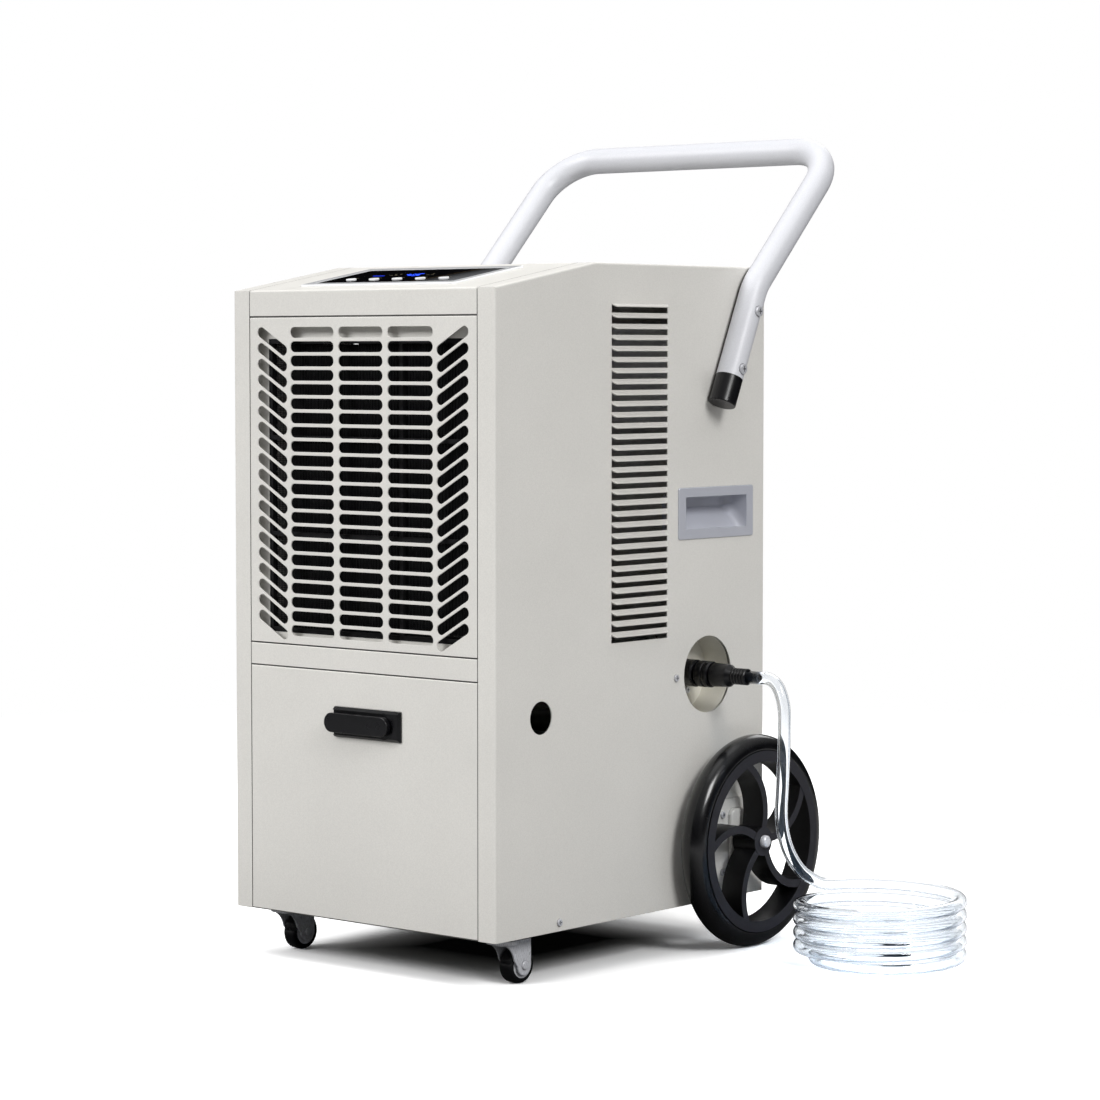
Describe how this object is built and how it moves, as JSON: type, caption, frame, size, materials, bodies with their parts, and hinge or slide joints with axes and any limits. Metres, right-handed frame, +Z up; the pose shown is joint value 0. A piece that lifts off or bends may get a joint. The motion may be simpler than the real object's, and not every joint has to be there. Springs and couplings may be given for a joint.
{
  "type": "commercial dehumidifier",
  "caption": "Upright wheeled cabinet that draws moist air through a slotted front, condenses its water into a pull-out tank or a side drain hose, and vents dry air through side louvres.",
  "frame": {"origin": "on the floor, under the middle of the cabinet", "axes": "+Z up; -Y faces out of the intake grille at the front; +X towards the side with the drain port"},
  "size_m": [0.7552, 0.6362, 0.9589],
  "materials": {
    "body_paint": "light warm grey powder coat with fine orange peel",
    "handle_paint": "white glossy powder coat",
    "grip_plastic": "blue-grey moulded plastic",
    "cup_plastic": "beige-grey moulded plastic",
    "bezel_white": "glossy white",
    "panel_black": "black display window",
    "button_white": "white oval keys",
    "filter_black": "black frame and mesh",
    "tank_plastic": "milky translucent plastic",
    "float_foam": "light foam and arm",
    "black_plastic": "black moulded plastic",
    "zinc_steel": "zinc plated",
    "chrome_steel": "bright plated",
    "tyre_black": "black solid rubber tyre",
    "rim_grey": "dark grey moulded wheel",
    "caster_tread": "black tread on a grey hub",
    "fin_aluminium": "plain fin stock",
    "copper": "bare copper tube",
    "compressor_black": "black enamel",
    "clear_tube": "clear flexible hose",
    "cord_black": "black cable sheath"
  },
  "bodies": {
    "cabinet": {"base_tray": "body_paint", "side_panel_left": "body_paint", "side_panel_right": "body_paint", "rear_panel": "body_paint", "top_cover": "body_paint", "crossbar_strip": "body_paint", "coil_frame": "body_paint", "shelf": "body_paint", "recess_handles": "grip_plastic", "drain_port_cup": "cup_plastic", "control_bezel": "bezel_white", "control_glass": "panel_black", "air_filter": "filter_black", "handle_tube": "handle_paint", "handle_caps": "black_plastic", "handle_screws": "zinc_steel", "axle_brackets": "body_paint", "stub_axles": "zinc_steel", "axle_caps": "chrome_steel", "caster_plates": "zinc_steel", "evaporator_fins": "fin_aluminium", "condenser_fins": "fin_aluminium", "coil_tubes": "copper", "drip_tray": "black_plastic", "drain_tube": "clear_tube", "compressor": "compressor_black", "refrigerant_lines": "copper", "fan_shroud": "black_plastic", "fan_motor": "zinc_steel", "electrical_box": "bezel_white", "drain_socket": "black_plastic", "drain_plug": "black_plastic", "drain_hose": "clear_tube", "power_cord": "cord_black", "cord_hooks": "black_plastic", "panel_screws": "zinc_steel"},
    "grille": {"intake_grille": "body_paint"},
    "drawer": {"drawer_front": "body_paint", "water_tank": "tank_plastic", "latch_base": "black_plastic"},
    "latch": {"latch_lever": "black_plastic", "latch_cam": "zinc_steel"},
    "float": {"tank_float": "float_foam"},
    "button_power": {"button_power": "button_white"},
    "button_mode": {"button_mode": "button_white"},
    "button_down": {"button_down": "button_white"},
    "button_up": {"button_up": "button_white"},
    "button_timer": {"button_timer": "button_white"},
    "wheel_left": {"tyre_left": "tyre_black", "rim_left": "rim_grey"},
    "wheel_right": {"tyre_right": "tyre_black", "rim_right": "rim_grey"},
    "caster_swivel_left": {"caster_fork_left": "chrome_steel", "caster_pin_left": "chrome_steel"},
    "caster_swivel_right": {"caster_fork_right": "chrome_steel", "caster_pin_right": "chrome_steel"},
    "caster_roll_left": {"caster_wheel_left": "caster_tread"},
    "caster_roll_right": {"caster_wheel_right": "caster_tread"},
    "fan": {"fan_rotor": "black_plastic"},
    "collar": {"release_collar": "black_plastic"}
  },
  "joints": [
    {"name": "grille_pull", "type": "slide", "parent": "cabinet", "child": "grille", "axis": [0, -1, 0], "range_m": [0, 0.06]},
    {"name": "drawer_slide", "type": "slide", "parent": "cabinet", "child": "drawer", "axis": [0, -1, 0], "range_m": [0, 0.27]},
    {"name": "latch_turn", "type": "hinge", "parent": "drawer", "child": "latch", "pos_m": [0.0382, -0.2485, 0.2825], "axis": [0, -1, 0], "range_deg": [0, 90]},
    {"name": "float_lift", "type": "hinge", "parent": "drawer", "child": "float", "pos_m": [-0.097, 0.026, 0.238], "axis": [-1, 0, 0], "range_deg": [0, 15]},
    {"name": "button_power_press", "type": "slide", "parent": "cabinet", "child": "button_power", "axis": [0, 0.1717, -0.9851], "range_m": [0, 0.001], "stiffness_N_per_m": 400},
    {"name": "button_mode_press", "type": "slide", "parent": "cabinet", "child": "button_mode", "axis": [0, 0.1717, -0.9851], "range_m": [0, 0.001], "stiffness_N_per_m": 400},
    {"name": "button_down_press", "type": "slide", "parent": "cabinet", "child": "button_down", "axis": [0, 0.1717, -0.9851], "range_m": [0, 0.001], "stiffness_N_per_m": 400},
    {"name": "button_up_press", "type": "slide", "parent": "cabinet", "child": "button_up", "axis": [0, 0.1717, -0.9851], "range_m": [0, 0.001], "stiffness_N_per_m": 400},
    {"name": "button_timer_press", "type": "slide", "parent": "cabinet", "child": "button_timer", "axis": [0, 0.1717, -0.9851], "range_m": [0, 0.001], "stiffness_N_per_m": 400},
    {"name": "wheel_left_spin", "type": "hinge", "parent": "cabinet", "child": "wheel_left", "pos_m": [-0.227, 0.185, 0.125], "axis": [1, 0, 0], "continuous": true},
    {"name": "caster_left_swivel", "type": "hinge", "parent": "cabinet", "child": "caster_swivel_left", "pos_m": [-0.1675, -0.193, 0.05], "axis": [0, 0, 1], "continuous": true},
    {"name": "caster_left_roll", "type": "hinge", "parent": "caster_swivel_left", "child": "caster_roll_left", "pos_m": [-0.1675, -0.171, 0.0205], "axis": [1, 0, 0], "continuous": true},
    {"name": "wheel_right_spin", "type": "hinge", "parent": "cabinet", "child": "wheel_right", "pos_m": [0.227, 0.185, 0.125], "axis": [1, 0, 0], "continuous": true},
    {"name": "caster_right_swivel", "type": "hinge", "parent": "cabinet", "child": "caster_swivel_right", "pos_m": [0.1675, -0.193, 0.05], "axis": [0, 0, 1], "continuous": true},
    {"name": "caster_right_roll", "type": "hinge", "parent": "caster_swivel_right", "child": "caster_roll_right", "pos_m": [0.1675, -0.171, 0.0205], "axis": [1, 0, 0], "continuous": true},
    {"name": "fan_spin", "type": "hinge", "parent": "cabinet", "child": "fan", "pos_m": [0, -0.056, 0.556], "axis": [0, 1, 0], "continuous": true},
    {"name": "collar_pull", "type": "slide", "parent": "cabinet", "child": "collar", "axis": [-1, 0, 0], "range_m": [0, 0.003], "stiffness_N_per_m": 600}
  ]
}
